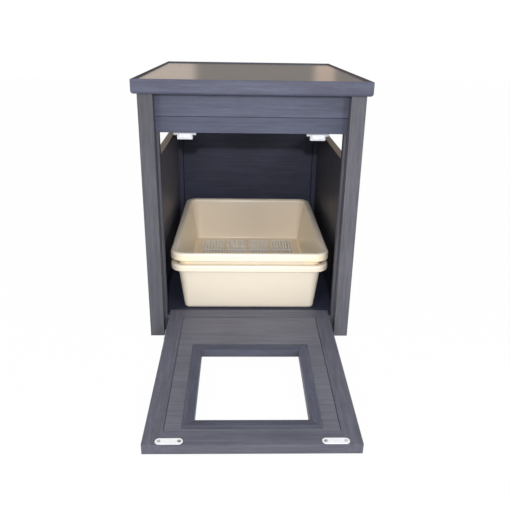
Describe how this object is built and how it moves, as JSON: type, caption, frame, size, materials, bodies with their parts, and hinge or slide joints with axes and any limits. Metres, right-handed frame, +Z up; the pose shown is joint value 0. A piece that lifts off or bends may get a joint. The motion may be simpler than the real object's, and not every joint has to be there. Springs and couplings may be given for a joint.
{
  "type": "litter box cabinet",
  "caption": "End-table cabinet that hides a litter box: fold-down front door with a window, side vents, litter pan and nested sifting tray.",
  "frame": {"origin": "on the floor, in the middle of the whole part as it stands with its door open", "axes": "+Z up; -Y is the front, where the door folds down; +X is the right-hand side seen from the front"},
  "size_m": [0.468, 0.989, 0.561],
  "materials": {
    "board": "satin grey-blue wood-grain composite board",
    "inset_gloss": "smooth glossy grey laminate",
    "tray_plastic": "semi-gloss beige moulded plastic",
    "catch_plastic": "white moulded plastic",
    "bush_plastic": "natural nylon",
    "steel": "bright zinc-plated steel",
    "magnet": "dark ferrite",
    "dowel_wood": "plain beech"
  },
  "bodies": {
    "cabinet": {"post_front_left": "board", "post_front_right": "board", "post_rear_left": "board", "post_rear_right": "board", "front_rail_upper": "board", "front_rail_lower": "board", "jamb_left": "board", "jamb_right": "board", "side_rail_top_left": "board", "side_rail_top_right": "board", "side_rail_base_left": "board", "side_rail_base_right": "board", "side_panel_left": "board", "side_panel_right": "board", "back_rail_top": "board", "back_rail_base": "board", "back_panel": "board", "floor_panel": "board", "floor_batten_left": "board", "floor_batten_right": "board", "floor_batten_front": "board", "top_core": "board", "top_inset": "inset_gloss", "top_edge_front": "board", "top_edge_rear": "board", "top_edge_left": "board", "top_edge_right": "board", "frame_dowels": "dowel_wood", "hinge_bush_left": "bush_plastic", "hinge_bush_right": "bush_plastic", "catch_body_left": "catch_plastic", "catch_body_right": "catch_plastic", "catch_magnets": "magnet", "catch_poles": "steel", "catch_screws": "steel"},
    "door": {"door_stile_left": "board", "door_stile_right": "board", "door_rail_free": "board", "door_rail_hinge": "board", "door_panel": "board", "door_dowels": "dowel_wood", "window_trim_free": "board", "window_trim_hinge": "board", "window_trim_left": "board", "window_trim_right": "board", "strike_plate_left": "steel", "strike_plate_right": "steel", "strike_screws": "steel", "hinge_pin_left": "steel", "hinge_pin_right": "steel"},
    "pan": {"litter_pan": "tray_plastic"},
    "sifter": {"sifting_tray": "tray_plastic"}
  },
  "joints": [
    {"name": "door_fold", "type": "hinge", "parent": "cabinet", "child": "door", "pos_m": [0, -0.07251, 0.031], "axis": [-1, 0, 0], "range_deg": [0, 92.85]},
    {"name": "pan_slide", "type": "slide", "parent": "cabinet", "child": "pan", "axis": [0, 1, 0], "range_m": [-0.002, 0.055]},
    {"name": "sifter_lift", "type": "slide", "parent": "pan", "child": "sifter", "axis": [0, 0, 1], "range_m": [0, 0.2]}
  ]
}
